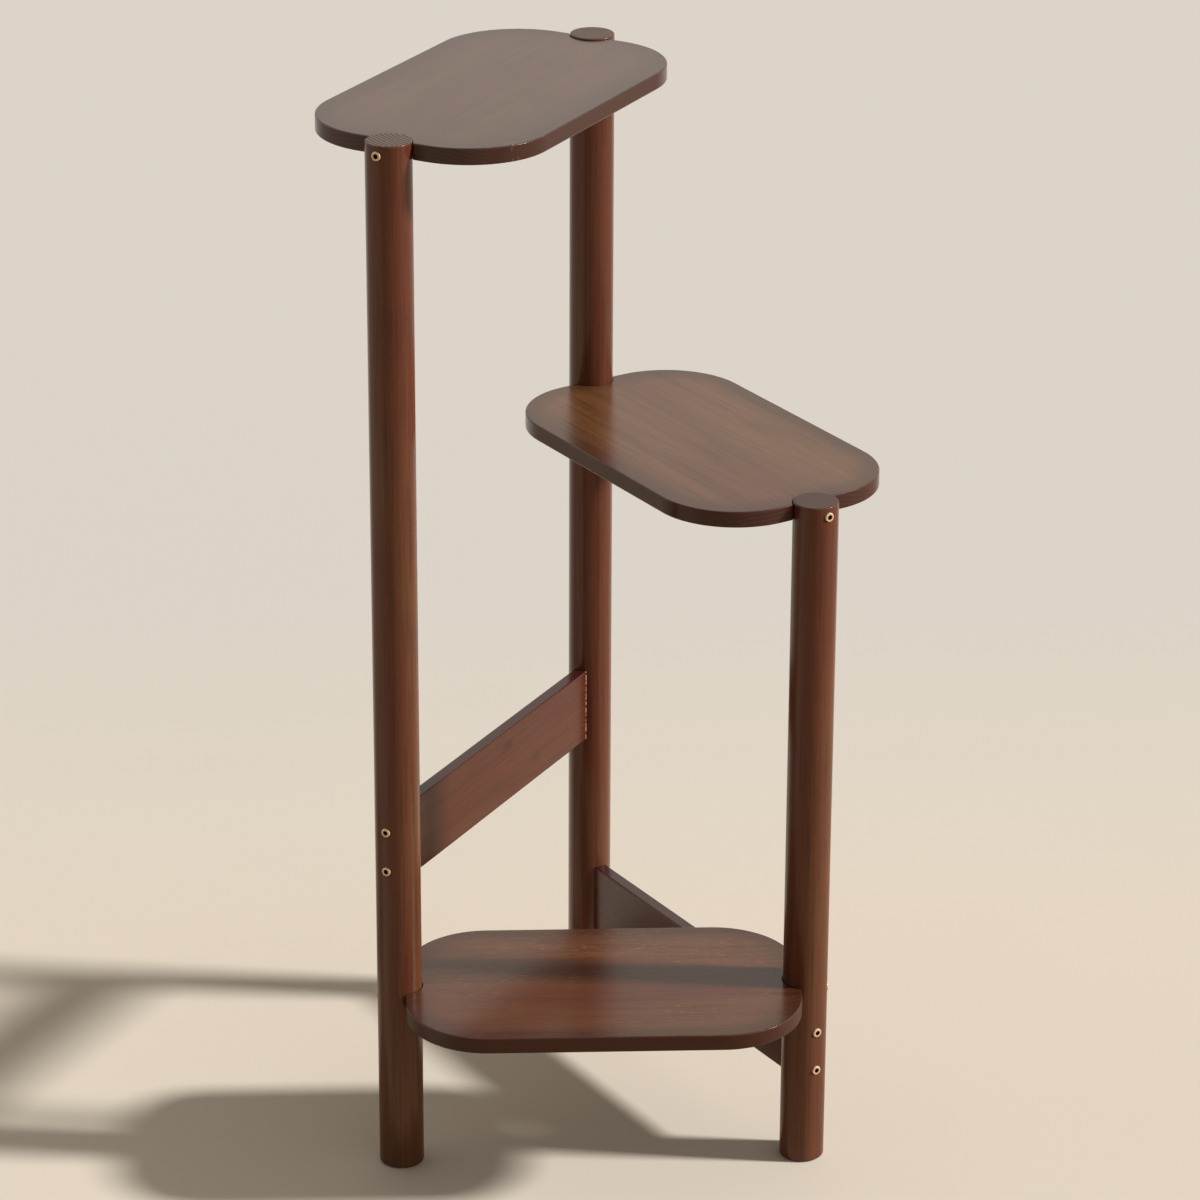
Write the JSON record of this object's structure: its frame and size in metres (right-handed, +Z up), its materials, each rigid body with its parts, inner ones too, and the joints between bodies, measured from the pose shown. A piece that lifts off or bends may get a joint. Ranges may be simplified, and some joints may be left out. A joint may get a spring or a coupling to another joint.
{
  "type": "plant stand",
  "caption": "Tiered plant stand with round legs and rounded shelves notched round them, climbing like a spiral stair and braced by flat rails.",
  "frame": {"origin": "on the floor, at the centre of the overall box", "axes": "+Z up, +X from the front left leg to the front right leg, +Y from the front to the rear leg"},
  "size_m": [0.4636, 0.4203, 0.916],
  "materials": {
    "leg_wood": "stained and lacquered, satin",
    "shelf_wood": "stained and lacquered, satin",
    "rail_wood": "stained and lacquered, satin",
    "bolt_brass": "antique brass plating, satin",
    "insert_metal": "plain zinc"
  },
  "bodies": {
    "root": {"bottom_shelf": "shelf_wood", "bottom_shelf_bolt_left": "bolt_brass", "bottom_shelf_bolt_right": "bolt_brass", "bottom_shelf_insert_left": "insert_metal", "bottom_shelf_insert_right": "insert_metal", "left_leg": "leg_wood", "left_rail": "rail_wood", "left_rail_bolt_left_lower": "bolt_brass", "left_rail_bolt_left_upper": "bolt_brass", "left_rail_bolt_rear_lower": "bolt_brass", "left_rail_bolt_rear_upper": "bolt_brass", "left_rail_insert_left_lower": "insert_metal", "left_rail_insert_left_upper": "insert_metal", "left_rail_insert_rear_lower": "insert_metal", "left_rail_insert_rear_upper": "insert_metal", "middle_shelf": "shelf_wood", "middle_shelf_bolt_rear": "bolt_brass", "middle_shelf_bolt_right": "bolt_brass", "middle_shelf_insert_rear": "insert_metal", "middle_shelf_insert_right": "insert_metal", "rear_leg": "leg_wood", "right_leg": "leg_wood", "right_rail": "rail_wood", "right_rail_bolt_rear_lower": "bolt_brass", "right_rail_bolt_rear_upper": "bolt_brass", "right_rail_bolt_right_lower": "bolt_brass", "right_rail_bolt_right_upper": "bolt_brass", "right_rail_insert_rear_lower": "insert_metal", "right_rail_insert_rear_upper": "insert_metal", "right_rail_insert_right_lower": "insert_metal", "right_rail_insert_right_upper": "insert_metal", "top_shelf": "shelf_wood", "top_shelf_bolt_left": "bolt_brass", "top_shelf_bolt_rear": "bolt_brass", "top_shelf_insert_left": "insert_metal", "top_shelf_insert_rear": "insert_metal"}
  },
  "joints": []
}
